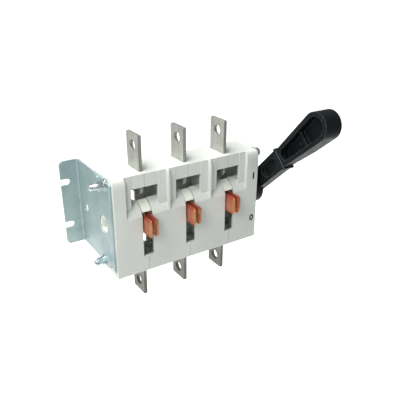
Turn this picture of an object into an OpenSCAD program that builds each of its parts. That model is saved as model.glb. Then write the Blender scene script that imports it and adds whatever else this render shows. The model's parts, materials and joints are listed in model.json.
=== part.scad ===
// Three-pole knife blade switch: a turning drum carries double-break copper blades,
// and a lever on the right-hand side turns it between OFF (blades level) and ON (upright).
// Frame: +X towards the lever, the front faces -Y, +Z up. The origin is the middle of the
// four mounting slots, on the plane of the panel that the bracket feet stand on.
// Most shapes are drawn about the axis of the drum, and on_axis() moves them into place.

/* [Housing] */
// Width over the two end faces
housing_w = 140.6; // [140:0.2:144]
// Height
housing_h = 85; // [84:0.5:88]
// Depth from the front panel to the open back
housing_d = 34.2; // [33:0.2:37]
// Distance of the drum's axis behind the front panel
axis_depth = 19.5; // [19.2:0.1:19.8]
// Thickness of the moulded walls
wall = 2.4; // [2:0.1:2.6]
// Thickness of the two end walls
end_wall = 3; // [2.8:0.1:3.4]
// Thickness of the partitions between the poles
rib_w = 1.8; // [1.6:0.1:2.2]
// Depth of the upper recess behind the front panel
recess_d = 3.6; // [3:0.1:4]
// Outer radius of the shroud over the drum
shroud_r = 21; // [20.8:0.1:21.2]
// Thickness of the shroud
shroud_t = 2; // [1.8:0.1:2.2]
// Width of the window above each shroud
window_w = 24.2; // [22:0.2:26]
// Top edge of the window above the drum's axis
window_top = 31.2; // [30:0.2:32]
// Width of the slot that the blades come out through
slot_w = 9.6; // [9:0.1:10]
// Lower end of the blade slot below the drum's axis
slot_drop = 28.4; // [28.2:0.1:29]
// Thickness of the wall across the back
back_wall = 2; // [1.8:0.1:2]
// Width of the pillar at the left end of the front
left_pillar_w = 10.4; // [9:0.2:12]
// Width of the pillar at the right end of the front
right_pillar_w = 12.2; // [11:0.2:13]

/* [Poles] */
// Distance between neighbouring poles
pole_pitch = 40.7; // [40:0.1:41]
// Offset of the middle pole from the middle of the housing
pole_shift = -1; // [-1.5:0.1:1.5]

/* [Terminals] */
// Width of a terminal bar
bar_w = 20; // [19:0.5:20]
// Thickness of a terminal bar
bar_t = 3; // [2.8:0.1:3]
// Upper end of a bar above the drum's axis
bar_up = 71.5; // [66:0.5:76]
// Lower end of a bar below the drum's axis
bar_down = 72.5; // [66:0.5:76]
// Radius of the hollow inner end of a bar
bar_hollow_r = 22; // [21.5:0.1:23]
// Diameter of the terminal hole
terminal_hole = 9; // [8.4:0.1:9.5]
// Distance of the terminal hole from the end of the bar
hole_inset = 10; // [8:0.5:12]

/* [Blades] */
// Half the length of a blade
blade_reach = 30.8; // [30:0.1:33]
// Width of a blade
blade_w = 16; // [15:0.2:17]
// Thickness of one blade of a pair
blade_t = 2.3; // [2:0.1:2.4]
// Space between the two blades of a pair
blade_gap = 3.2; // [3.2:0.05:3.4]
// Side of the square shaft
shaft_side = 10; // [8:0.5:10]

/* [Drum] */
// Radius of the drum's hub
hub_r = 12; // [11.8:0.1:12.2]
// Outer radius of the guard bands beside the blades
band_r = 20.4; // [20:0.1:20.5]
// Radius of the journals in the end walls
journal_r = 7.45; // [7.4:0.01:7.47]

/* [Brackets] */
// Thickness of the bracket sheet
bracket_t = 1.6; // [1.5:0.1:2]
// Distance of the panel plane behind the drum's axis
stand_off = 51; // [50:0.5:54]
// Width of the bracket foot, measured from the housing's end face
foot_w = 17.4; // [17:0.2:20]
// Height of a bracket
bracket_h = 77.9; // [77:0.1:78.5]
// Distance between the two slots of a foot
slot_pitch = 40; // [36:1:44]
// Width of a mounting slot
mount_slot_w = 5.5; // [4.5:0.1:6.5]
// Height of the slots' middle above the drum's axis
bracket_lift = 1.9; // [1.5:0.1:2.1]

/* [Handle] */
// Distance from the drum's axis to the tip of the handle
handle_reach = 119.6; // [110:0.2:130]
// Angle of the handle above the level, pointing to the front
handle_tilt = 45; // [40:1:50]
// Radius of the disc at the root of the handle
disc_r = 15.3; // [14:0.1:17]
// Radius of the round end of the grip
grip_r = 12.3; // [11:0.1:13]
// Thickness of the grip
grip_t = 17; // [14:0.2:18]
// Thickness of the handle's neck
neck_t = 10.8; // [10:0.2:12]

/* [Hidden] */
$fn = 64;

// Housing, about the drum's axis: y to the back, z up
half_w = housing_w / 2;
half_h = housing_h / 2;
front_y = -axis_depth;
back_y = front_y + housing_d;
floor_y = front_y + recess_d;
crease_z = sqrt(pow(shroud_r, 2) - pow(front_y, 2));
crease_angle = atan2(crease_z, front_y);
inner_crease_z = sqrt(pow(shroud_r - shroud_t, 2) - pow(front_y + wall, 2));
inner_back_y = back_y - back_wall;
corner_h = 8;
corner_steps = 8;
panel_step = 0.4;
seam_w = 0.5;
seam_d = 0.5;
rim_gap = 0.35;
rim_d = 0.5;
shroud_end = 115;
pole_x = [for (k = [-1, 0, 1]) pole_shift + k * pole_pitch];
rib_x = [for (k = [-0.5, 0.5]) pole_shift + k * pole_pitch];
play = 0.1;
loose_play = 0.2;
past_all = 120;

// Openings of the back wall: the blades' slot, and the vents below it
back_slot_drop = 19.5;
vent_w = 28;
vent_top = 21.5;
vent_bottom = 34.6;
sweep_gap = 0.4;

// Terminals and their clamping blocks
bar_corner = 0.8;
jaw_r = 7;
notch_z = 38.5;
notch_r = 1.2;
block_w = 14;
block_z = 34.6;
beam_back_y = -10.6;

// Studs, tie rods and their nuts, as [y, z] about the drum's axis
stud_at = [[-9, 37.3], [4.3, -36]];
rod_at = [[-13.2, 33.5], [12.4, 37], [-12.4, -36.6], [12.4, -36.6]];
stud_r = 2.5;
left_stud_out = [14.3, 10.5];
right_stud_out = 8.4;
low_corner_z = 28;
stud_in = 8;
stud_boss_r = 5;
washer_t = 1;
washer_r = 5;
spring_washer_t = 1.3;
spring_washer_r = 4.3;
spring_split = 0.8;
stud_nut_t = 4;
stud_nut_r = 4.62;
rod_r = 1.5;
rod_nut_t = 2.4;
rod_nut_r = 3.18;
rod_boss_r = 4.6;
rod_boss_l = 6;
rod_inset = 0.3;

// Bearings and stops
bearing_play = 0.05;
bore_r = journal_r + bearing_play;
bearing_l = 5;
bearing_boss_r = 10.5;
hub_gap = 0.4;
rib_hole_r = hub_r + hub_gap;
stop_out_r = 16;
stop_x = 60.5;
lug_half = 12;
stop_w = 15;
stop_play = 0.5;
lug_gap = 0.5;
travel = 90;

// Drum
journal_out = 0.8;
socket_end = half_w - 10;
band_t = 2.4;
band_gap = 0.6;
band_half_w = slot_w / 2 - band_gap;
band_low = 31;
band_high = 64;
web_inset = 3;
spring_t = 0.5;
spring_reach = 17;
spring_w = 12;
spring_corner = 2;
blade_in = blade_gap / 2;
blade_out = blade_in + blade_t;
blade_corner = 4;
lead_in = 2.6;
lead_depth = 0.75;
corner_out = blade_reach - blade_corner;
corner_up = blade_w / 2 - blade_corner;
sweep_r = sqrt(pow(corner_out, 2) + pow(corner_up, 2)) + blade_corner + sweep_gap;
pin_r = 1.5;
pin_x = 57;

// Brackets
foot_y = stand_off;
bend_r = 1.5;
bracket_front = 2.5;
foot_corner = 4;
slot_end = 9.3;
side_hole_r = 3.5;
side_hole_at = [36.5, 0.5];
axis_hole_r = 7.75;
stud_hole_r = 2.7;
top_drop = 2.7;
top_level_y = -8;
edge_notch_y = 5.5;
edge_notch_r = 2.2;
rod_hole_at = [-10.9, -36.6];

// Handle, along its own length, from the drum's axis
disc_gap = 0.6;
disc_x0 = half_w + bracket_t + disc_gap;
disc_x1 = half_w + 11.9;
lever_x = half_w + 6.8;
neck_root = 8;
neck_half = 9.2;
collar_at = 53.2;
collar_l = 2.4;
collar_half = 10.3;
collar_lip = 0.4;
grip_root = 64;
grip_root_r = 9;
grip_root_half = 8.6;
flare_at = collar_at + collar_l - 1;
grip_centre = handle_reach - grip_r;
grip_full = 80;
rim_w = 3.6;
hollow_d = 9;
neck_hollow_d = 3;
hollow_root = 63.5;
hollow_root_r = 5.2;
neck_hollow_at = [32, 44];
neck_hollow_r = 5.8;
web_at = 86;
web_t = 2;
web_h = 3.6;
pip_at = 79;
pip_r = 1.2;
pip_h = 2;
screw_r = 2.5;
screw_l = 16;
head_r = 4.2;
head_t = 3.4;
key_r = 2.4;
key_d = 2;
sink_r = 6.2;
seat_t = 0.5;
sink_x = disc_x1 + seat_t;

axis_y = -stand_off;
axis_z = -bracket_lift;

module on_axis() {
    translate([0, axis_y, axis_z]) children();
}

// Extrudes an outline drawn in (y, z) from x0 to x1
module along_x(x0, x1) {
    translate([x0, 0, 0]) rotate([90, 0, 90]) linear_extrude(x1 - x0) children();
}

module box2(y0, z0, y1, z1) {
    translate([y0, z0]) square([y1 - y0, z1 - z0]);
}

// A rod along X at [y, z]
module rod(r, x0, x1, at = [0, 0]) {
    translate([x0, at[0], at[1]]) rotate([0, 90, 0]) cylinder(r = r, h = x1 - x0);
}

// A ring sector between two angles, counted from +y towards +z
module ring_sector(r0, r1, a0, a1) {
    far = 2 * r1;
    middle = (a0 + a1) / 2;
    intersection() {
        difference() {
            circle(r = r1);
            circle(r = r0);
        }
        polygon([[0, 0], for (a = [a0, middle, a1]) far * [cos(a), sin(a)]]);
    }
}

// A plate outline with four round corners, centred
module round_plate(w, h, r) {
    square([w - 2 * r, h], center = true);
    square([w, h - 2 * r], center = true);
    for (side = [-1, 1], end = [-1, 1]) {
        translate([side * (w / 2 - r), end * (h / 2 - r)]) circle(r = r);
    }
}

// A tapered bar with round ends, drawn along the first axis
module taper(a0, r0, a1, r1) {
    lean = asin((r1 - r0) / (a1 - a0));
    polygon([
        for (side = [-1, 1], end = side > 0 ? [0, 1] : [1, 0])
            end == 0
                ? [a0 - r0 * sin(lean), side * r0 * cos(lean)]
                : [a1 - r1 * sin(lean), side * r1 * cos(lean)]
    ]);
    translate([a0, 0]) circle(r = r0);
    translate([a1, 0]) circle(r = r1);
}

// ---- Housing ----

module pillar_outline() {
    polygon([
        [back_y, half_h],
        for (i = [0:corner_steps])
            let (t = 90 * i / corner_steps)
            [floor_y - recess_d * sin(t), half_h - corner_h * (1 - cos(t))],
        [front_y, -half_h],
        [back_y, -half_h]
    ]);
}

module shell_outline() {
    intersection() {
        union() {
            box2(front_y, -half_h, back_y, crease_z);
            box2(floor_y, -half_h, back_y, half_h);
            circle(r = shroud_r);
        }
        box2(front_y, -half_h, back_y, half_h);
    }
}

module cavity_outline() {
    intersection() {
        union() {
            box2(front_y + wall, -half_h, back_y + 1, inner_crease_z);
            box2(floor_y + wall, -half_h, back_y + 1, half_h);
            circle(r = shroud_r - shroud_t);
        }
        box2(front_y + wall, -half_h + wall, inner_back_y, half_h - wall);
    }
}

// The raised pillar between x0 and x1, hollow from behind, with a side wall at wall_x
module pillar(x0, x1, wall_x) {
    along_x(x0, x1) difference() {
        pillar_outline();
        box2(front_y + wall, -half_h + wall, inner_back_y, half_h - wall);
    }
    along_x(wall_x, wall_x + wall) intersection() {
        pillar_outline();
        box2(front_y, 0, floor_y + wall, half_h);
    }
}

module shell() {
    difference() {
        along_x(-half_w, half_w) shell_outline();
        along_x(-half_w + end_wall, half_w - end_wall) cavity_outline();
    }
    for (side = [-1, 1]) {
        inner = side * (half_w - end_wall);
        along_x(min(side * half_w, inner), max(side * half_w, inner)) pillar_outline();
    }
    pillar(-half_w, -half_w + left_pillar_w, -half_w + left_pillar_w - wall);
    pillar(half_w - right_pillar_w, half_w, half_w - right_pillar_w);
    along_x(-half_w, half_w) ring_sector(shroud_r - shroud_t, shroud_r, shroud_end, crease_angle);
    for (x = rib_x) along_x(x - rib_w / 2, x + rib_w / 2) pillar_outline();
}

// Clamping blocks and the beam over the window of one pole
module pole_supports(x) {
    along_x(x - block_w / 2, x + block_w / 2) {
        box2(beam_back_y, block_z, back_y, half_h);
        box2(front_y + wall, -half_h, back_y, -block_z);
    }
    along_x(x - window_w / 2 - wall, x + window_w / 2 + wall) {
        box2(floor_y, window_top, beam_back_y, half_h);
    }
}

module pole_openings(x) {
    along_x(x - slot_w / 2, x + slot_w / 2) {
        box2(front_y - 1, -slot_drop, 0, shroud_r + 2);
        box2(0, -back_slot_drop, back_y + 1, band_r);
        intersection() {
            circle(r = sweep_r);
            union() {
                box2(front_y - 1, -sweep_r, 0, 0);
                box2(0, 0, back_y + 1, sweep_r);
            }
        }
    }
    along_x(x - vent_w / 2, x + vent_w / 2) {
        box2(inner_back_y - 1, -vent_bottom, back_y + 1, -vent_top);
    }
    along_x(x - window_w / 2, x + window_w / 2) {
        difference() {
            box2(front_y - 1, 0, floor_y + wall + 1, window_top);
            circle(r = shroud_r);
        }
        box2(front_y - 1, window_top - 1, floor_y + panel_step, half_h + 1);
    }
    along_x(x - seam_w / 2, x + seam_w / 2) {
        box2(front_y - 1, -half_h - 1, front_y + seam_d, crease_z);
        box2(front_y - 1, window_top - 1, floor_y + panel_step + seam_d, half_h + 1);
        box2(front_y - 1, half_h - seam_d, back_y + 1, half_h + 1);
        box2(front_y - 1, -half_h - 1, back_y + 1, -half_h + seam_d);
    }
    for (end = [-1, 1]) {
        translate([x, 0, end * half_h]) {
            cube([bar_t + 2 * rim_gap, bar_w + 2 * rim_gap, 2 * rim_d], center = true);
        }
    }
}

module end_bosses() {
    for (side = [0, 1]) mirror([side, 0, 0]) {
        for (at = stud_at) rod(stud_boss_r, half_w - stud_in - 2, half_w, at);
        for (at = rod_at) rod(rod_boss_r, half_w - rod_boss_l, half_w, at);
        rod(bearing_boss_r, half_w - bearing_l, half_w);
    }
}

module end_holes() {
    for (side = [0, 1]) mirror([side, 0, 0]) {
        for (at = stud_at) rod(stud_r, half_w - stud_in, half_w + 1, at);
        for (at = rod_at) {
            rod(rod_r + play, 0, half_w, at);
            rod(rod_nut_r + play, half_w - rod_nut_t, half_w + 1, at);
        }
        rod(bore_r, half_w - bearing_l - 1, half_w + 1);
    }
    rod(rib_hole_r, rib_x[0] - rib_w, rib_x[1] + rib_w);
}

// The two stops that the drum's lug turns between
module stops() {
    rest_edge = 180 - lug_half - stop_play;
    far_edge = 180 + travel + lug_half + stop_play;
    along_x(stop_x, half_w - end_wall) {
        ring_sector(hub_r + lug_gap, stop_out_r, rest_edge - stop_w, rest_edge);
        ring_sector(hub_r + lug_gap, stop_out_r, far_edge, far_edge + stop_w);
    }
}

module whole_housing() {
    difference() {
        union() {
            shell();
            for (x = pole_x) pole_supports(x);
            intersection() {
                end_bosses();
                along_x(-half_w, half_w) pillar_outline();
            }
            stops();
        }
        for (x = pole_x) pole_openings(x);
        for (k = [1:3]) {
            upper_terminal_shape(k);
            lower_terminal_shape(k);
        }
        end_holes();
    }
}

// The moulded module between two planes across the housing
module housing_module(x0, x1) {
    color("gainsboro") on_axis() intersection() {
        whole_housing();
        along_x(x0, x1) square(2 * past_all, center = true);
    }
}

module left_end_housing() {
    housing_module(-half_w, pole_x[0]);
}

module mid_housing(k) {
    housing_module(pole_x[k - 1], pole_x[k]);
}

module right_end_housing() {
    housing_module(pole_x[2], half_w);
}

// ---- Terminals ----

// What rounds off one inner corner of a bar, in (y, z)
module jaw_corner_waste() {
    corner_z = sqrt(pow(bar_hollow_r, 2) - pow(bar_w / 2, 2));
    difference() {
        translate([-bar_w / 2 - 1, corner_z - 1]) square(jaw_r + 1);
        translate([jaw_r - bar_w / 2, corner_z + jaw_r]) circle(r = jaw_r);
    }
}

// One bar with its hollow inner end towards the axis, standing up to length
module bar_outline(length) {
    difference() {
        translate([0, length / 2]) round_plate(bar_w, length, bar_corner);
        circle(r = bar_hollow_r);
        for (side = [0, 1]) mirror([side, 0]) jaw_corner_waste();
        for (side = [-1, 1]) translate([side * bar_w / 2, notch_z]) circle(r = notch_r);
        translate([0, length - hole_inset]) circle(d = terminal_hole);
    }
}

module upper_terminal_shape(k) {
    x = pole_x[k - 1];
    along_x(x - bar_t / 2, x + bar_t / 2) bar_outline(bar_up);
}

module lower_terminal_shape(k) {
    x = pole_x[k - 1];
    along_x(x - bar_t / 2, x + bar_t / 2) mirror([0, 1]) bar_outline(bar_down);
}

module upper_terminal(k) {
    color("silver") on_axis() upper_terminal_shape(k);
}

module lower_terminal(k) {
    color("silver") on_axis() lower_terminal_shape(k);
}

// ---- Brackets ----

// Plan of the bent sheet on the right-hand side, in (x, y)
module bracket_plan() {
    bend_x = half_w + bracket_t + bend_r;
    bend_y = foot_y - bracket_t - bend_r;
    translate([half_w, front_y + bracket_front]) {
        square([bracket_t, bend_y - front_y - bracket_front]);
    }
    translate([bend_x, bend_y]) ring_sector(bend_r, bend_r + bracket_t, 90, 180);
    translate([bend_x, foot_y - bracket_t]) {
        square([half_w + foot_w - bend_x, bracket_t]);
    }
}

// What rounds off one outer corner of the foot, in (x, z)
module foot_corner_waste() {
    difference() {
        translate([-foot_corner, -foot_corner]) square(foot_corner + 1);
        translate([-foot_corner, -foot_corner]) circle(r = foot_corner);
    }
}

module bracket_shape() {
    low_z = bracket_lift - bracket_h / 2;
    high_z = bracket_lift + bracket_h / 2;
    slot_x = half_w + slot_end + mount_slot_w / 2;
    difference() {
        translate([0, 0, low_z]) linear_extrude(bracket_h) bracket_plan();
        rod(axis_hole_r, half_w - 1, half_w + bracket_t + 1);
        rod(side_hole_r, half_w - 1, half_w + bracket_t + 1, side_hole_at);
        for (at = stud_at) rod(stud_hole_r, half_w - 1, half_w + bracket_t + 1, at);
        rod(rod_nut_r, half_w - 1, half_w + bracket_t + 1, rod_hole_at);
        rod(edge_notch_r, half_w - 1, half_w + bracket_t + 1, [edge_notch_y, high_z]);
        along_x(half_w - 1, half_w + bracket_t + 1) polygon([
            [front_y, high_z - top_drop],
            [top_level_y, high_z],
            [top_level_y, high_z + 1],
            [front_y, high_z + 1]
        ]);
        for (end = [-1, 1]) {
            translate([0, foot_y + 1, bracket_lift + end * slot_pitch / 2]) rotate([90, 0, 0]) {
                translate([slot_x, 0, 0]) cylinder(d = mount_slot_w, h = bracket_t + 2);
                translate([slot_x, -mount_slot_w / 2, 0]) {
                    cube([foot_w, mount_slot_w, bracket_t + 2]);
                }
            }
            translate([half_w + foot_w, foot_y + 1, bracket_lift + end * bracket_h / 2]) {
                rotate([90, 0, 0]) linear_extrude(bracket_t + 2) turned_over(end) foot_corner_waste();
            }
        }
    }
}

// Turns an outline over for the lower end
module turned_over(end) {
    if (end > 0) children();
    else mirror([0, 1]) children();
}

module left_bracket() {
    color("lightslategray") on_axis() mirror([1, 0, 0]) bracket_shape();
}

// The right bracket's upper rear corner slopes down to a shorter foot
module right_bracket() {
    high_z = bracket_lift + bracket_h / 2;
    color("lightslategray") on_axis() difference() {
        bracket_shape();
        along_x(half_w - 1, half_w + foot_w + 1) polygon([
            [back_y, high_z],
            [foot_y - bracket_t, low_corner_z],
            [foot_y + 1, low_corner_z],
            [foot_y + 1, high_z + 1],
            [back_y, high_z + 1]
        ]);
    }
}

// ---- Fasteners ----

module at_each_stud() {
    for (side = [0, 1]) mirror([side, 0, 0]) for (at = stud_at) translate([0, at[0], at[1]]) children();
}

module bracket_studs() {
    color("silver") on_axis() for (i = [0, 1]) {
        rod(stud_r, -half_w - left_stud_out[i], -half_w + stud_in, stud_at[i]);
        rod(stud_r, half_w - stud_in, half_w + right_stud_out, stud_at[i]);
    }
}

module bracket_washers() {
    x = half_w + bracket_t;
    color("silver") on_axis() at_each_stud() difference() {
        rod(washer_r, x, x + washer_t);
        rod(stud_r + loose_play, x - 1, x + washer_t + 1);
    }
}

module bracket_spring_washers() {
    x = half_w + bracket_t + washer_t;
    color("dimgray") on_axis() at_each_stud() difference() {
        rod(spring_washer_r, x, x + spring_washer_t);
        rod(stud_r + play, x - 1, x + spring_washer_t + 1);
        translate([x - 1, 0, -spring_split / 2]) {
            cube([spring_washer_t + 2, spring_washer_r + 1, spring_split]);
        }
    }
}

module bracket_nuts() {
    x = half_w + bracket_t + washer_t + spring_washer_t;
    color("silver") on_axis() at_each_stud() difference() {
        translate([x, 0, 0]) rotate([0, 90, 0]) cylinder(r = stud_nut_r, h = stud_nut_t, $fn = 6);
        rod(stud_r, x - 1, x + stud_nut_t + 1);
    }
}

module tie_rods() {
    color("silver") on_axis() for (at = rod_at) rod(rod_r, -half_w + rod_inset, half_w - rod_inset, at);
}

module tie_rod_nuts() {
    color("silver") on_axis() for (side = [0, 1]) mirror([side, 0, 0]) for (at = rod_at) difference() {
        translate([half_w - rod_nut_t, at[0], at[1]]) rotate([0, 90, 0]) {
            cylinder(r = rod_nut_r, h = rod_nut_t, $fn = 6);
        }
        rod(rod_r, half_w - rod_nut_t - 1, half_w + 1, at);
    }
}

// ---- Drum, blades and shaft ----

module square_rod(side, x0, x1) {
    along_x(x0, x1) square(side, center = true);
}

module drive_shaft() {
    color("darkgray") on_axis() difference() {
        square_rod(shaft_side, -socket_end, disc_x1 - seat_t);
        rod(screw_r, sink_x + washer_t - screw_l, disc_x1);
        translate([pin_x, 0, 0]) cylinder(r = pin_r, h = 2 * hub_r, center = true);
    }
}

module shaft_pin() {
    color("silver") on_axis() translate([pin_x, 0, 0]) {
        cylinder(r = pin_r, h = 2 * hub_r - 1, center = true);
    }
}

// The guard band over one side of the drum, with its web, starting at angle turn
module guard_band(turn) {
    from = 180 + turn - band_high;
    to = 180 + turn - band_low;
    along_x(-band_half_w, band_half_w) ring_sector(band_r - band_t, band_r, from, to);
    along_x(-blade_in, blade_in) {
        ring_sector(hub_r - 1, band_r - band_t + 1, from + web_inset, to - web_inset);
    }
}

// A drum core between x0 and x1; x is its pole's plane
module drum_core_shape(x, x0, x1) {
    difference() {
        union() {
            rod(hub_r, x0, x1);
            translate([x, 0, 0]) {
                guard_band(0);
                guard_band(180);
            }
        }
        for (side = [-1, 1]) translate([x, 0, 0]) {
            near = side > 0 ? blade_in : -blade_out - spring_t;
            far = side > 0 ? blade_out + spring_t : -blade_in;
            along_x(near, far) square([4 * hub_r, blade_w], center = true);
        }
    }
}

module drum_core(k) {
    left_end = k == 1 ? -half_w + bearing_l + hub_gap : rib_x[k - 2];
    right_end = k == 3 ? half_w - bearing_l - hub_gap : rib_x[k - 1];
    color("ivory") on_axis() difference() {
        union() {
            drum_core_shape(pole_x[k - 1], left_end, right_end);
            if (k == 1) rod(journal_r, -half_w - journal_out, left_end);
            if (k == 3) rod(journal_r, right_end, half_w + bracket_t);
            if (k == 3) along_x(stop_x, right_end) {
                ring_sector(hub_r - 1, stop_out_r - lug_gap, 180 - lug_half, 180 + lug_half);
            }
        }
        square_rod(shaft_side, -past_all, past_all);
        if (k == 3) translate([pin_x, 0, 0]) cylinder(r = pin_r, h = 4 * hub_r, center = true);
    }
}

// The section of a blade across one direction, thinned at both edges
module blade_section(half) {
    polygon([
        for (side = [-1, 1]) [blade_in + lead_depth, side * half],
        for (side = [1, -1]) [blade_in, side * (half - lead_in)]
    ]);
    polygon([
        for (side = [-1, 1]) [blade_out - lead_depth, side * half],
        for (side = [1, -1]) [blade_out, side * (half - lead_in)]
    ]);
    translate([blade_in + lead_depth, -half]) square([blade_t - 2 * lead_depth, 2 * half]);
}

// One blade on the +X side of its pole, with its outline thinned all round
module blade_shape() {
    intersection() {
        along_x(blade_in, blade_out) difference() {
            round_plate(2 * blade_reach, blade_w, blade_corner);
            square(shaft_side, center = true);
        }
        linear_extrude(2 * blade_w, center = true) blade_section(blade_reach);
        rotate([90, 0, 0]) linear_extrude(3 * blade_reach, center = true) blade_section(blade_w / 2);
    }
}

module left_blade(k) {
    color("chocolate") on_axis() translate([pole_x[k - 1], 0, 0]) mirror([1, 0, 0]) blade_shape();
}

module right_blade(k) {
    color("chocolate") on_axis() translate([pole_x[k - 1], 0, 0]) blade_shape();
}

module contact_springs(k) {
    color("darkgray") on_axis() translate([pole_x[k - 1], 0, 0]) for (side = [0, 1]) {
        mirror([side, 0, 0]) along_x(blade_out, blade_out + spring_t) difference() {
            round_plate(2 * spring_reach, spring_w, spring_corner);
            square(shaft_side, center = true);
        }
    }
}

// ---- Handle ----

// Stands the handle's own length up at its tilt: outlines are (along, across), extruded in x
module on_lever() {
    rotate([180 - handle_tilt, 0, 0]) children();
}

module neck() {
    along_x(lever_x, lever_x + neck_t) {
        circle(r = neck_half);
        polygon([
            [0, -neck_root], [collar_at, -neck_half], [collar_at, neck_half], [0, neck_root]
        ]);
    }
    along_x(lever_x - collar_lip, lever_x + neck_t + collar_lip) {
        box2(collar_at, -collar_half, collar_at + collar_l, collar_half);
    }
}

module grip() {
    start = collar_at + collar_l / 2;
    intersection() {
        along_x(lever_x, lever_x + grip_t) {
            taper(grip_root, grip_root_r, grip_centre, grip_r);
            box2(start, -grip_root_half, grip_root, grip_root_half);
        }
        linear_extrude(past_all, center = true) polygon([
            [lever_x, start - 1],
            [lever_x + neck_t, start - 1],
            [lever_x + neck_t, flare_at],
            [lever_x + grip_t, grip_full],
            [lever_x + grip_t, handle_reach + 1],
            [lever_x, handle_reach + 1]
        ]);
    }
}

module handle() {
    floor_x = lever_x + hollow_d;
    color("dimgray") on_axis() on_lever() difference() {
        union() {
            rod(disc_r, disc_x0, disc_x1);
            neck();
            difference() {
                grip();
                along_x(lever_x - 1, floor_x) {
                    taper(hollow_root, hollow_root_r, grip_centre, grip_r - rim_w);
                }
            }
            along_x(floor_x - web_h, floor_x + 1) {
                box2(web_at - web_t / 2, -grip_r + rim_w, web_at + web_t / 2, grip_r - rim_w);
            }
            rod(pip_r, floor_x - pip_h, floor_x + 1, [pip_at, 0]);
        }
        along_x(lever_x - 1, lever_x + neck_hollow_d) {
            taper(neck_hollow_at[0], neck_hollow_r, neck_hollow_at[1], neck_hollow_r);
        }
        rotate([handle_tilt, 0, 0]) square_rod(shaft_side, disc_x0 - 1, disc_x1 - seat_t);
        rod(screw_r + loose_play, disc_x0, lever_x + neck_t);
        rod(sink_r, sink_x, lever_x + neck_t + 1);
    }
}

module handle_washer() {
    color("silver") on_axis() difference() {
        rod(sink_r - hub_gap, sink_x, sink_x + washer_t);
        rod(screw_r + loose_play, sink_x - 1, sink_x + washer_t + 1);
    }
}

module handle_screw() {
    head_x = sink_x + washer_t;
    color("silver") on_axis() difference() {
        union() {
            rod(screw_r, head_x - screw_l, head_x);
            rod(head_r, head_x, head_x + head_t);
        }
        translate([head_x + head_t - key_d, 0, 0]) rotate([0, 90, 0]) {
            cylinder(r = key_r, h = key_d + 1, $fn = 6);
        }
    }
}

left_end_housing();
mid_housing(1);  // mid_housing_1
mid_housing(2);  // mid_housing_2
right_end_housing();
left_bracket();
right_bracket();
upper_terminal(1);  // upper_terminal_1
upper_terminal(2);  // upper_terminal_2
upper_terminal(3);  // upper_terminal_3
lower_terminal(1);  // lower_terminal_1
lower_terminal(2);  // lower_terminal_2
lower_terminal(3);  // lower_terminal_3
bracket_studs();
bracket_nuts();
bracket_washers();
bracket_spring_washers();
tie_rods();
tie_rod_nuts();
drive_shaft();
shaft_pin();
drum_core(1);  // drum_core_1
drum_core(2);  // drum_core_2
drum_core(3);  // drum_core_3
left_blade(1);  // left_blade_1
left_blade(2);  // left_blade_2
left_blade(3);  // left_blade_3
right_blade(1);  // right_blade_1
right_blade(2);  // right_blade_2
right_blade(3);  // right_blade_3
contact_springs(1);  // contact_springs_1
contact_springs(2);  // contact_springs_2
contact_springs(3);  // contact_springs_3
handle();
handle_washer();
handle_screw();
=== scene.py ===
"""Looks of the three-pole knife blade switch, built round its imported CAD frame. All lengths are metres."""
import json
import math

import bmesh
import bpy
from mathutils import Matrix, Vector


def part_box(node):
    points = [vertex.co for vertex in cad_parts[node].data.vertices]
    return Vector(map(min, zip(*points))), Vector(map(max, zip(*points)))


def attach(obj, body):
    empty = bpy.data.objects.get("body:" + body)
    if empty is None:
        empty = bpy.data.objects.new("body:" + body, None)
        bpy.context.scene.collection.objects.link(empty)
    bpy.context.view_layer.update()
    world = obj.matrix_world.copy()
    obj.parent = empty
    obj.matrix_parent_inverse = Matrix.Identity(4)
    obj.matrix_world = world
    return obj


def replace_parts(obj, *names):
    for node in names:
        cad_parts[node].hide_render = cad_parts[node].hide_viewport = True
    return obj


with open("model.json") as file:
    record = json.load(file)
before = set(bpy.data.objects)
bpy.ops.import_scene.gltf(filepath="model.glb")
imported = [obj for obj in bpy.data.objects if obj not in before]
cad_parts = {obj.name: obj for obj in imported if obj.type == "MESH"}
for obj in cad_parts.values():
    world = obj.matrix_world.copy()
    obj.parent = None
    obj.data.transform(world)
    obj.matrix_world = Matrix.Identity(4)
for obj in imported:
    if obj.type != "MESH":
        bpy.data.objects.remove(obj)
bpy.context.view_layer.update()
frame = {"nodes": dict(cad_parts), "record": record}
nodes = frame["nodes"]
MM = 0.001
POLES = (1, 2, 3)
# Where a Mix node keeps its colour sockets
MIX_A, MIX_B, MIX_RESULT = 6, 7, 2


# ---- Node materials ----

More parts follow.
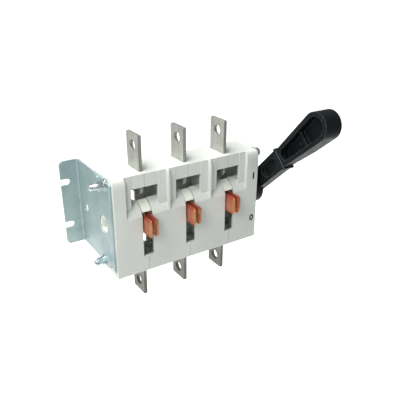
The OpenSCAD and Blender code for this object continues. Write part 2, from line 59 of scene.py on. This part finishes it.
class Shader:
    """A material's node tree, with short calls for the nodes used here."""

    def __init__(self, name):
        self.material = bpy.data.materials.new(name)
        self.material.use_nodes = True
        self.tree = self.material.node_tree
        self.tree.nodes.clear()
        self.surface = self.add("ShaderNodeBsdfPrincipled")
        out = self.add("ShaderNodeOutputMaterial")
        self.link(self.surface.outputs[0], out.inputs["Surface"])
        self.place = self.add("ShaderNodeTexCoord").outputs["Object"]

    def add(self, kind, **settings):
        node = self.tree.nodes.new(kind)
        for key, value in settings.items():
            setattr(node, key, value)
        return node

    def link(self, a, b):
        self.tree.links.new(a, b)

    def set(self, **values):
        for key, value in values.items():
            self.surface.inputs[key.replace("_", " ")].default_value = value

    def scaled(self, scale):
        node = self.add("ShaderNodeMapping")
        node.inputs["Scale"].default_value = scale
        self.link(self.place, node.inputs["Vector"])
        return node.outputs[0]

    def noise(self, scale, detail=3.0, rough=0.55, stretch=(1, 1, 1), distortion=0.0):
        node = self.add("ShaderNodeTexNoise")
        node.inputs["Scale"].default_value = scale
        node.inputs["Detail"].default_value = detail
        node.inputs["Roughness"].default_value = rough
        node.inputs["Distortion"].default_value = distortion
        self.link(self.scaled(stretch), node.inputs["Vector"])
        return node.outputs["Fac"]

    def ramp(self, fac, stops):
        node = self.add("ShaderNodeValToRGB")
        ramp = node.color_ramp
        while len(ramp.elements) < len(stops):
            ramp.elements.new(0.5)
        for element, (at, colour) in zip(ramp.elements, stops):
            element.position = at
            if isinstance(colour, (int, float)):
                colour = (colour, colour, colour)
            element.color = (*colour, 1)
        self.link(fac, node.inputs["Fac"])
        return node.outputs["Color"]

    def mix(self, fac, a, b):
        node = self.add("ShaderNodeMix", data_type="RGBA")
        self.plug(fac, node.inputs["Factor"])
        self.plug(a, node.inputs[MIX_A])
        self.plug(b, node.inputs[MIX_B])
        return node.outputs[MIX_RESULT]

    def plug(self, value, socket):
        if isinstance(value, bpy.types.NodeSocket):
            self.link(value, socket)
        elif isinstance(value, (int, float)):
            socket.default_value = value
        else:
            socket.default_value = (*value, 1)

    def math(self, operation, a, b=0.0):
        node = self.add("ShaderNodeMath", operation=operation)
        self.plug(a, node.inputs[0])
        self.plug(b, node.inputs[1])
        return node.outputs[0]

    def rounded(self, radius):
        """The normal of the surface with its edges rounded."""
        node = self.add("ShaderNodeBevel", samples=6)
        node.inputs["Radius"].default_value = radius
        return node.outputs[0]

    def edge(self, radius, low=0.02, high=0.25):
        """1 on edges within radius, 0 on flat faces; the materials lighten edges by it, as a painted
        highlight.
        """
        plain = self.add("ShaderNodeNewGeometry")
        dot = self.add("ShaderNodeVectorMath", operation="DOT_PRODUCT")
        self.link(self.rounded(radius), dot.inputs[0])
        self.link(plain.outputs["Normal"], dot.inputs[1])
        fall = self.math("SUBTRACT", 1.0, dot.outputs["Value"])
        return self.ramp(fall, [(low, 0.0), (high, 1.0)])

    def hollow(self, distance, low=0.35, high=0.95):
        """1 in deep corners, 0 on open faces; the materials darken by it, as painted shade."""
        node = self.add("ShaderNodeAmbientOcclusion", samples=6)
        node.inputs["Distance"].default_value = distance
        return self.ramp(node.outputs["AO"], [(low, 1.0), (high, 0.0)])

    def bump(self, height, strength, distance, radius=None):
        node = self.add("ShaderNodeBump")
        node.inputs["Strength"].default_value = strength
        node.inputs["Distance"].default_value = distance
        self.link(height, node.inputs["Height"])
        if radius:
            self.link(self.rounded(radius), node.inputs["Normal"])
        self.link(node.outputs[0], self.surface.inputs["Normal"])

    def above(self, low, high):
        """0 below the height low, 1 above the height high."""
        split = self.add("ShaderNodeSeparateXYZ")
        self.link(self.place, split.inputs[0])
        span = self.add("ShaderNodeMapRange")
        span.inputs["From Min"].default_value = low
        span.inputs["From Max"].default_value = high
        self.link(split.outputs["Z"], span.inputs["Value"])
        return span.outputs[0]

    def colour(self, socket):
        self.link(socket, self.surface.inputs["Base Color"])

    def rough(self, socket):
        self.link(socket, self.surface.inputs["Roughness"])


def housing_plastic():
    s = Shader("housing_plastic")
    cloud = s.noise(38, 4)
    grain = s.noise(2600, 2)
    base = s.ramp(cloud, [(0.3, (0.552, 0.583, 0.552)), (0.7, (0.602, 0.630, 0.592))])
    specks = s.ramp(s.noise(900, 2), [(0.62, 0.0), (0.8, 1.0)])
    base = s.mix(s.math("MULTIPLY", specks, 0.06), base, (0.50, 0.50, 0.47))
    # Lighter edges: partly painted highlight, partly edge wear
    base = s.mix(s.math("MULTIPLY", s.edge(0.45 * MM), 0.5), base, (0.80, 0.80, 0.775))
    # Painted shade: darker in corners and recesses
    base = s.mix(s.math("MULTIPLY", s.hollow(7 * MM), 0.15), base, (0.38, 0.38, 0.33))
    s.colour(base)
    s.rough(s.ramp(grain, [(0.3, 0.36), (0.7, 0.5)]))
    s.bump(grain, 0.14, 0.05 * MM, 0.35 * MM)
    s.set(IOR=1.5)
    return s.material


def drum_plastic():
    s = Shader("drum_plastic")
    grain = s.noise(2200, 2)
    base = s.ramp(s.noise(55, 3), [(0.3, (0.675, 0.695, 0.625)), (0.7, (0.755, 0.775, 0.70))])
    scuff = s.ramp(s.noise(420, 3, stretch=(4, 1, 1)), [(0.55, 0.0), (0.75, 1.0)])
    base = s.mix(s.math("MULTIPLY", scuff, 0.12), base, (0.50, 0.46, 0.38))
    # Painted shade: darker in corners and recesses
    base = s.mix(s.math("MULTIPLY", s.hollow(6 * MM), 0.2), base, (0.34, 0.33, 0.28))
    s.colour(base)
    s.rough(s.ramp(grain, [(0.3, 0.32), (0.7, 0.46)]))
    s.bump(grain, 0.12, 0.05 * MM, 0.3 * MM)
    return s.material


def zinc_sheet():
    s = Shader("zinc_sheet")
    cloud = s.noise(46, 5, 0.6, distortion=0.6)
    fine = s.noise(700, 3)
    streak = s.noise(60, 4, stretch=(1, 1, 14))
    tones = [(0.28, (0.30, 0.40, 0.405)), (0.5, (0.395, 0.495, 0.495)), (0.74, (0.51, 0.60, 0.59))]
    base = s.ramp(cloud, tones)
    base = s.mix(s.math("MULTIPLY", s.ramp(streak, [(0.45, 0.0), (0.7, 1.0)]), 0.25), base, (0.58, 0.65, 0.63))
    base = s.mix(s.math("MULTIPLY", s.ramp(fine, [(0.5, 0.0), (0.75, 1.0)]), 0.2), base, (0.36, 0.44, 0.46))
    # Painted shade and reflection: the sheet darkens towards the top and stays lighter low down, where the
    # floor's light reflects
    base = s.mix(s.math("MULTIPLY", s.above(-38 * MM, 34 * MM), 0.42), base, (0.24, 0.34, 0.36))
    # Painted highlight along the edges
    base = s.mix(s.math("MULTIPLY", s.edge(0.4 * MM), 0.6), base, (0.80, 0.86, 0.86))
    s.colour(base)
    s.rough(s.ramp(streak, [(0.3, 0.42), (0.7, 0.56)]))
    s.bump(fine, 0.18, 0.04 * MM, 0.25 * MM)
    s.set(Metallic=0.6)
    return s.material


def zinc_fastener():
    s = Shader("zinc_fastener")
    fine = s.noise(1500, 3)
    base = s.ramp(s.noise(260, 3), [(0.3, (0.52, 0.62, 0.67)), (0.7, (0.74, 0.81, 0.84))])
    # Painted highlight along the edges
    base = s.mix(s.math("MULTIPLY", s.edge(0.25 * MM), 0.6), base, (0.90, 0.94, 0.95))
    # Painted shade: darker in grooves and corners
    base = s.mix(s.math("MULTIPLY", s.hollow(1.5 * MM), 0.55), base, (0.16, 0.19, 0.21))
    s.colour(base)
    s.rough(s.ramp(fine, [(0.3, 0.2), (0.7, 0.36)]))
    s.bump(fine, 0.15, 0.03 * MM, 0.12 * MM)
    s.set(Metallic=0.95)
    return s.material


def dark_spring_steel():
    s = Shader("dark_spring_steel")
    fine = s.noise(1400, 3)
    base = s.ramp(s.noise(300, 3), [(0.3, (0.16, 0.17, 0.18)), (0.7, (0.30, 0.31, 0.32))])
    # Painted highlight along the edges
    base = s.mix(s.math("MULTIPLY", s.edge(0.2 * MM), 0.5), base, (0.55, 0.56, 0.57))
    s.colour(base)
    s.rough(s.ramp(fine, [(0.3, 0.28), (0.7, 0.45)]))
    s.bump(fine, 0.15, 0.03 * MM, 0.1 * MM)
    s.set(Metallic=0.95)
    return s.material


def shaft_steel():
    s = Shader("shaft_steel")
    lines = s.noise(90, 3, stretch=(1, 40, 40))
    base = s.ramp(lines, [(0.3, (0.36, 0.37, 0.37)), (0.7, (0.55, 0.56, 0.56))])
    # Painted highlight along the edges
    base = s.mix(s.math("MULTIPLY", s.edge(0.4 * MM), 0.5), base, (0.75, 0.76, 0.76))
    s.colour(base)
    s.rough(s.ramp(lines, [(0.3, 0.3), (0.7, 0.45)]))
    s.bump(lines, 0.12, 0.03 * MM, 0.3 * MM)
    s.set(Metallic=0.95)
    return s.material


def tinned_copper(name="tinned_copper", shade=1.08):
    s = Shader(name)
    streak = s.noise(240, 4, stretch=(1, 1, 0.1))
    cloud = s.noise(85, 4, 0.6)
    fine = s.noise(1100, 3)
    tones = [(0.28, (0.31, 0.318, 0.285)), (0.72, (0.45, 0.458, 0.42))]
    base = s.ramp(cloud, [(at, tuple(v * shade for v in tone)) for at, tone in tones])
    base = s.mix(s.math("MULTIPLY", s.ramp(streak, [(0.4, 0.0), (0.7, 1.0)]), 0.35), base,
                 (0.62 * shade, 0.625 * shade, 0.59 * shade))
    base = s.mix(s.math("MULTIPLY", s.ramp(fine, [(0.45, 0.0), (0.75, 1.0)]), 0.4), base, (0.22, 0.222, 0.19))
    # Painted shade: the bars turn dark below the housing, where less light falls
    base = s.mix(s.above(-60 * MM, -42 * MM), (0.15, 0.155, 0.13), base)
    # Painted highlight along the edges
    base = s.mix(s.math("MULTIPLY", s.edge(0.35 * MM), 0.3), base, (0.60, 0.59, 0.54))
    s.colour(base)
    s.rough(s.ramp(streak, [(0.3, 0.38), (0.7, 0.55)]))
    s.bump(s.math("ADD", fine, s.math("MULTIPLY", streak, 0.7)), 0.22, 0.04 * MM, 0.25 * MM)
    s.set(Metallic=0.6)
    return s.material


def blade_copper(name="blade_copper", shade=0.92, green=0.94, blue=0.88):
    s = Shader(name)
    cloud = s.noise(120, 4, 0.6)
    lines = s.noise(300, 3, stretch=(1, 0.12, 1))
    tones = [(0.25, (0.50, 0.16, 0.10)), (0.5, (0.59, 0.22, 0.145)), (0.78, (0.67, 0.30, 0.20))]
    base = s.ramp(cloud, [(at, (r * shade, g * shade * green, b * shade * blue)) for at, (r, g, b) in tones])
    base = s.mix(s.math("MULTIPLY", s.ramp(lines, [(0.45, 0.0), (0.7, 1.0)]), 0.3), base,
                 (0.72 * shade, 0.38 * shade * green, 0.27 * shade * blue))
    # Painted highlight along the edges
    base = s.mix(s.math("MULTIPLY", s.edge(0.35 * MM), 0.45), base, (0.80, 0.44, 0.25))
    # Painted shade: darker in corners
    base = s.mix(s.math("MULTIPLY", s.hollow(3 * MM), 0.5), base, (0.25, 0.045, 0.02))
    s.colour(base)
    s.rough(s.ramp(lines, [(0.3, 0.36), (0.7, 0.5)]))
    s.bump(lines, 0.2, 0.04 * MM, 0.3 * MM)
    s.set(Metallic=0.7)
    return s.material


def handle_plastic():
    s = Shader("handle_plastic")
    grain = s.noise(1900, 2)
    cloud = s.noise(70, 4)
    base = s.ramp(cloud, [(0.3, (0.004, 0.0065, 0.007)), (0.7, (0.008, 0.011, 0.0115))])
    # Painted highlight along the rims, rib and collar edges
    base = s.mix(s.math("MULTIPLY", s.edge(0.55 * MM), 0.85), base, (0.22, 0.26, 0.265))
    s.colour(base)
    s.rough(s.ramp(s.noise(160, 3), [(0.3, 0.42), (0.7, 0.54)]))
    s.bump(grain, 0.12, 0.05 * MM)
    s.set(IOR=1.22)
    return s.material


def ink():
    s = Shader("printed_ink")
    wear = s.noise(1800, 3)
    s.colour(s.ramp(wear, [(0.3, (0.008, 0.008, 0.009)), (0.75, (0.03, 0.03, 0.03))]))
    s.rough(s.ramp(wear, [(0.3, 0.4), (0.7, 0.6)]))
    s.bump(wear, 0.1, 0.01 * MM)
    return s.material


# The floor glows in a wedge behind and below the object, and is dimmer to the left, right and front of it
FLOOR_EDGES = (
    ((0.997, -0.062, 0), 0.53),
    ((-0.446, 0.896, 0), 0.61),
    ((0.553, 0.833, 0), 0.30),
)


def floor_paper():
    s = Shader("floor_paper")
    s.colour(s.ramp(s.noise(3, 3), [(0.3, (0.90, 0.90, 0.90)), (0.7, (0.93, 0.93, 0.93))]))
    s.rough(s.ramp(s.noise(40, 3), [(0.3, 0.85), (0.7, 0.95)]))
    pool = 1.0
    for normal, offset in FLOOR_EDGES:
        side = s.add("ShaderNodeVectorMath", operation="DOT_PRODUCT")
        s.link(s.place, side.inputs[0])
        side.inputs[1].default_value = normal
        inside = s.ramp(s.math("ADD", side.outputs["Value"], offset), [(0.0, 0.0), (0.35, 1.0)])
        pool = s.math("MULTIPLY", pool, inside)
    glow = s.math("ADD", s.math("MULTIPLY", pool, 0.8), 0.1)
    s.link(glow, s.surface.inputs["Emission Strength"])
    s.surface.inputs["Emission Color"].default_value = (1, 1, 1, 1)
    return s.material


MATERIALS = {
    "housing_plastic": housing_plastic(),
    "drum_plastic": drum_plastic(),
    "zinc_sheet": zinc_sheet(),
    "zinc_fastener": zinc_fastener(),
    "dark_spring_steel": dark_spring_steel(),
    "shaft_steel": shaft_steel(),
    "tinned_copper": tinned_copper(),
    "blade_copper": blade_copper(),
    "handle_plastic": handle_plastic(),
}
# A darker copy of the tinned copper for the terminals' narrow faces: painted shade
SHADED_TIN = tinned_copper("shaded_tin", 0.78)
# Darker, redder copper for the blades' top and bottom faces is painted shade; lighter, yellower copper for
# their ends is a painted sheen
SHADED_COPPER = blade_copper("shaded_copper", 0.85, 0.55, 0.5)
SHEEN_COPPER = blade_copper("sheen_copper", 1.02, 1.15, 0.72)
SLOT_OF = {p["node"]: p["material_slot"] for p in frame["record"]["subparts"]}


# ---- Meshes ----

WELD_GAP = 1e-7
KEYS_PER_METRE = 1e6


def new_piece(name, verts, faces, body, slot=None, material=None, smooth=True):
    """A mesh piece that rides on a body, with a record slot's material or its own."""
    mesh = bpy.data.meshes.new(name)
    mesh.from_pydata(verts, [], faces)
    shape = bmesh.new()
    shape.from_mesh(mesh)
    bmesh.ops.remove_doubles(shape, verts=shape.verts, dist=WELD_GAP)
    bmesh.ops.recalc_face_normals(shape, faces=shape.faces)
    shape.to_mesh(mesh)
    shape.free()
    mesh.polygons.foreach_set("use_smooth", [smooth] * len(mesh.polygons))
    obj = bpy.data.objects.new(name, mesh)
    bpy.context.scene.collection.objects.link(obj)
    mesh.materials.append(material or MATERIALS[slot])
    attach(obj, body)
    return obj


def sharpen(obj, degrees):
    """Shades edges steeper than an angle as sharp."""
    obj.data.set_sharp_from_angle(angle=math.radians(degrees))


def solids(node):
    """The boxes of a CAD node's separate solids, as (low, high), sorted by place."""
    mesh = nodes[node].data
    parent = {}

    def root(k):
        while parent[k] != k:
            parent[k] = parent[parent[k]]
            k = parent[k]
        return k

    keys = [tuple(round(c * KEYS_PER_METRE) for c in v.co) for v in mesh.vertices]
    for key in keys:
        parent.setdefault(key, key)
    for edge in mesh.edges:
        a, b = root(keys[edge.vertices[0]]), root(keys[edge.vertices[1]])
        parent[a] = b
    groups = {}
    for key, v in zip(keys, mesh.vertices):
        groups.setdefault(root(key), []).append(v.co)
    boxes = []
    for points in groups.values():
        low = Vector(min(p[i] for p in points) for i in range(3))
        high = Vector(max(p[i] for p in points) for i in range(3))
        boxes.append((low, high))
    return sorted(boxes, key=lambda b: tuple(round(c, 5) for c in b[0]))


def ring_grid(rings):
    """Faces that join rings of equal length in order, each ring closed."""
    n = len(rings[0])
    verts = [p for ring in rings for p in ring]
    faces = []
    for i in range(len(rings) - 1):
        for j in range(n):
            k = (j + 1) % n
            faces.append((i * n + j, (i + 1) * n + j, (i + 1) * n + k, i * n + k))
    return verts, faces


def on_x(x, r, angle, centre):
    """A point round an axis along X, with its angle counted from +Y towards +Z."""
    return (x, centre.y + r * math.cos(angle), centre.z + r * math.sin(angle))


STEPS_PER_PITCH = 8
THREAD_SLOPE = 2.6
ROD_CHAMFER = 0.6 * MM
# A nut's chamfer: where it starts, as a share of the flats' radius, and how deep it goes for its width
RIM_SHARE = 0.985
RIM_SLOPE = 0.62
MOUTH = 0.25 * MM
MOUTH_DEPTH = 0.3 * MM


def threaded_rod(name, box, pitch, depth, body, slot, sides=36):
    """A threaded rod along X that fills its CAD solid's box."""
    low, high = box
    centre, r = (low + high) / 2, (high.z - low.z) / 2
    steps = max(2, round((high.x - low.x) / pitch * STEPS_PER_PITCH))
    rings = [[(low.x, centre.y, centre.z)] * sides]
    for i in range(steps + 1):
        x = low.x + (high.x - low.x) * i / steps
        ring = []
        for j in range(sides):
            turn = j / sides
            phase = ((x - low.x) / pitch - turn) % 1
            cut = depth * max(0, 1 - abs(phase - 0.5) * THREAD_SLOPE)
            chamfer = max(0, ROD_CHAMFER - min(x - low.x, high.x - x))
            ring.append(on_x(x, r - max(cut, chamfer), turn * math.tau, centre))
        rings.append(ring)
    rings.append([(high.x, centre.y, centre.z)] * sides)
    verts, faces = ring_grid(rings)
    obj = new_piece(name, verts, faces, body, slot)
    sharpen(obj, 50)
    return obj


def hex_nut(name, box, hole_r, body, slot, sides=72):
    """A chamfered hexagon nut along X."""
    low, high = box
    centre = (low + high) / 2
    corner = (high.y - low.y) / 2
    flat = corner * math.cos(math.pi / 6)
    rings = []
    half = (high.x - low.x) / 2
    angles = [math.tau * j / sides for j in range(sides)]

    def hexagon(angle):
        return flat / math.cos((angle % (math.pi / 3)) - math.pi / 6)

    for x_side in (-1, 1):
        x = centre.x + x_side * half
        inner, outer, side = [], [], []
        for a in angles:
            r = hexagon(a)
            rim = min(r, flat * RIM_SHARE)
            inner.append(on_x(x, hole_r + MOUTH, a, centre))
            outer.append(on_x(x, rim, a, centre))
            side.append(on_x(x - x_side * (r - rim) * RIM_SLOPE, r, a, centre))
        rings += [inner, outer, side] if x_side < 0 else [side, outer, inner]
    bottom = [on_x(centre.x + half - MOUTH_DEPTH, hole_r, a, centre) for a in angles]
    top = [on_x(centre.x - half + MOUTH_DEPTH, hole_r, a, centre) for a in angles]
    rings += [bottom, top, rings[0]]
    verts, faces = ring_grid(rings)
    obj = new_piece(name, verts, faces, body, slot)
    sharpen(obj, 25)
    return obj


def flat_ring(name, box, hole_r, body, slot, chamfer=0.12 * MM, start=0.0, end=math.tau, sides=56):
    """A washer along X with broken edges, closed or split between two angles."""
    low, high = box
    centre, r = (low + high) / 2, (high.z - low.z) / 2
    profile = [
        (low.x + chamfer, hole_r), (low.x, hole_r + chamfer), (low.x, r - chamfer), (low.x + chamfer, r),
        (high.x - chamfer, r), (high.x, r - chamfer), (high.x, hole_r + chamfer), (high.x - chamfer, hole_r),
    ]
    whole = end - start > math.tau - 0.01
    count = sides if whole else sides + 1
    rings = []
    for j in range(count):
        a = start + (end - start) * j / sides
        rings.append([on_x(x, q, a, centre) for x, q in profile])
    if whole:
        rings.append(rings[0])
    verts, faces = ring_grid(rings)
    if not whole:
        n = len(profile)
        faces.append(tuple(range(n)))
        faces.append(tuple(reversed(range(len(verts) - n, len(verts)))))
    obj = new_piece(name, verts, faces, body, slot)
    sharpen(obj, 30)
    return obj


def stand_in(node, make):
    """Makes one piece per solid of a node, and lets them stand for it."""
    for k, box in enumerate(solids(node)):
        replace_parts(make(f"{node}_{k + 1}", box), node)


def soften(node, width, angle=30, segments=2):
    """Rounds a CAD node's sharp edges without touching its mesh."""
    obj = nodes[node]
    weld = obj.modifiers.new("weld", "WELD")
    weld.merge_threshold = 2e-6
    flat = obj.modifiers.new("flat", "DECIMATE")
    flat.decimate_type = "DISSOLVE"
    flat.angle_limit = math.radians(0.6)
    bevel = obj.modifiers.new("edges", "BEVEL")
    bevel.width = width
    bevel.segments = segments
    bevel.limit_method = "ANGLE"
    bevel.angle_limit = math.radians(angle)
    bevel.use_clamp_overlap = True
    bevel.miter_outer = "MITER_ARC"
    normal = obj.modifiers.new("shade", "WEIGHTED_NORMAL")
    normal.keep_sharp = False
    normal.weight = 90


for name, obj in nodes.items():
    obj.data.materials.clear()
    obj.data.materials.append(MATERIALS[SLOT_OF[name]])

ZINC_ON_HOUSING = ("housing", "zinc_fastener")
THREAD_PITCH = 0.8 * MM
THREAD_DEPTH = 0.42 * MM
WASHER_PLAY = 0.2 * MM
SPRING_PLAY = 0.1 * MM
SPRING_CHAMFER = 0.15 * MM
SPLIT = (math.radians(7), math.radians(353))


def radius_of(node):
    """The radius of a node's first solid, a rod along X."""
    low, high = solids(node)[0]
    return (high.z - low.z) / 2


stud_r = radius_of("bracket_studs")
rod_r = radius_of("tie_rods")
stand_in("bracket_studs", lambda n, b: threaded_rod(n, b, THREAD_PITCH, THREAD_DEPTH, *ZINC_ON_HOUSING))
stand_in("bracket_nuts", lambda n, b: hex_nut(n, b, stud_r, *ZINC_ON_HOUSING))
stand_in("bracket_washers", lambda n, b: flat_ring(n, b, stud_r + WASHER_PLAY, *ZINC_ON_HOUSING))
stand_in("bracket_spring_washers", lambda n, b: flat_ring(
    n, b, stud_r + SPRING_PLAY, *ZINC_ON_HOUSING, SPRING_CHAMFER, *SPLIT))
stand_in("tie_rod_nuts", lambda n, b: hex_nut(n, b, rod_r, *ZINC_ON_HOUSING))


# ---- Printed position marks on the right-hand pillar ----

INK = ink()
INK_T = 0.02 * MM
right_low, right_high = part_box("right_end_housing")
front_y = right_low.y - INK_T
base_z = right_low.z
mark_x = right_high.x - 4.6 * MM


def mark_bar():
    """The upright bar of the upper mark, with round corners."""
    half_w, height, bottom_z = 0.95 * MM, 7.4 * MM, base_z + 58.4 * MM
    round_r, inset = half_w * 0.6, half_w * 0.4
    outline = []
    low, high = half_w, height - half_w
    for cx, cz, first in ((inset, high, 0), (-inset, high, 90), (-inset, low, 180), (inset, low, 270)):
        for k in range(5):
            a = math.radians(first + 22.5 * k)
            outline.append((mark_x + cx + round_r * math.cos(a), bottom_z + cz + round_r * math.sin(a)))
    verts = [(x, front_y, z) for x, z in outline] + [(x, front_y + INK_T, z) for x, z in outline]
    n = len(outline)
    faces = [tuple(range(n))] + [(i, i + n, (i + 1) % n + n, (i + 1) % n) for i in range(n)]
    new_piece("mark_on", verts, faces, "housing", None, INK, False)


def mark_ring():
    """The oval ring of the lower mark."""
    inner, outer = (0.7 * MM, 1.7 * MM), (2.3 * MM, 3.3 * MM)
    sides, centre_z, back_y = 48, base_z + 20.3 * MM, front_y + INK_T
    profile = ((inner, back_y), (inner, front_y), (outer, front_y), (outer, back_y))
    rings = []
    for k in range(sides + 1):
        c, s = math.cos(math.tau * k / sides), math.sin(math.tau * k / sides)
        rings.append([(mark_x + rx * c, y, centre_z + rz * s) for (rx, rz), y in profile])
    verts, faces = ring_grid(rings)
    new_piece("mark_off", verts, faces, "housing", None, INK, False)


mark_bar()
mark_ring()

# ---- Rounded edges ----

# How far a face's normal leans along X on a flat side, and at most on an edge
FLAT_SIDE = 0.985
EDGE_SIDE = 0.5
SHEET_ANGLE = 35


def rim_look(normal):
    """0 on a blade's flat faces, 1 along its top and bottom edges, which take a painted darker shade, 2 on its
    ends, which take a painted lighter sheen.
    """
    if abs(normal.x) > FLAT_SIDE:
        return 0
    return 2 if abs(normal.y) > abs(normal.z) else 1


for k in POLES:
    for side in ("left", "right"):
        blade = nodes[f"{side}_blade_{k}"].data
        # Copies of the copper chosen by face direction: painted shade on top and bottom, painted sheen on the
        # ends
        blade.materials.append(SHADED_COPPER)
        blade.materials.append(SHEEN_COPPER)
        blade.polygons.foreach_set("material_index", [rim_look(p.normal) for p in blade.polygons])
    for side in ("upper", "lower"):
        bar = nodes[f"{side}_terminal_{k}"].data
        # The terminals' narrow faces take the darker copy: painted shade
        bar.materials.append(SHADED_TIN)
        bar.polygons.foreach_set("material_index", [int(abs(p.normal.x) < EDGE_SIDE) for p in bar.polygons])
        soften(f"{side}_terminal_{k}", 0.35 * MM)
    for side in ("left", "right"):
        soften(f"{side}_blade_{k}", 0.3 * MM)
for side in ("left", "right"):
    soften(f"{side}_bracket", 0.25 * MM, SHEET_ANGLE)
soften("handle", 0.8 * MM, SHEET_ANGLE, 3)

# ---- Floor, light and camera ----

FLOOR_SIZE = 60
FLOOR_Z = -0.34

bpy.ops.mesh.primitive_grid_add(x_subdivisions=8, y_subdivisions=8, size=FLOOR_SIZE, location=(0, 0, FLOOR_Z))
floor = bpy.context.object
floor.name = "floor"
floor.data.materials.append(floor_paper())


def area_light(name, place, aim, size, power, colour):
    """A square light aimed at a point."""
    data = bpy.data.lights.new(name, "AREA")
    data.energy = power
    data.color = colour
    data.size = size
    obj = bpy.data.objects.new(name, data)
    bpy.context.scene.collection.objects.link(obj)
    obj.location = place
    obj.rotation_euler = (Vector(aim) - Vector(place)).to_track_quat("-Z", "Y").to_euler()


target = (0, -0.05, 0)
area_light("overhead", (-0.3, 0.05, 0.8), target, 0.6, 12.4, (1, 0.995, 0.98))
area_light("left_fill", (-0.37, -0.31, 0.3), (-0.05, -0.06, 0), 0.25, 1.75, (1, 1, 0.975))
area_light("front_fill", (-0.5, -0.8, 0.28), target, 0.4, 0.9, (0.98, 1, 0.98))

world = bpy.data.worlds.new("studio")
world.use_nodes = True
world.node_tree.nodes["Background"].inputs["Color"].default_value = (0.95, 0.97, 1.0, 1)
world.node_tree.nodes["Background"].inputs["Strength"].default_value = 0.25
bpy.context.scene.world = world
bpy.context.scene.view_settings.view_transform = "Standard"

# The camera's place, and the directions of its right, up and back
CAMERA_PLACE = Vector((-0.2023, -0.3872, 0.1785))
right = Vector((0.83464, -0.55075, 0.00698))
up = Vector((0.22064, 0.34593, 0.91195))
back = Vector((-0.50467, -0.75961, 0.41024))

lens = bpy.data.cameras.new("camera")
lens.sensor_width = 36
lens.lens = 44.17
lens.clip_start, lens.clip_end = 0.01, 100
camera = bpy.data.objects.new("camera", lens)
bpy.context.scene.collection.objects.link(camera)
camera.matrix_world = Matrix((
    (right.x, up.x, back.x, CAMERA_PLACE.x),
    (right.y, up.y, back.y, CAMERA_PLACE.y),
    (right.z, up.z, back.z, CAMERA_PLACE.z),
    (0, 0, 0, 1),
))
bpy.context.scene.camera = camera
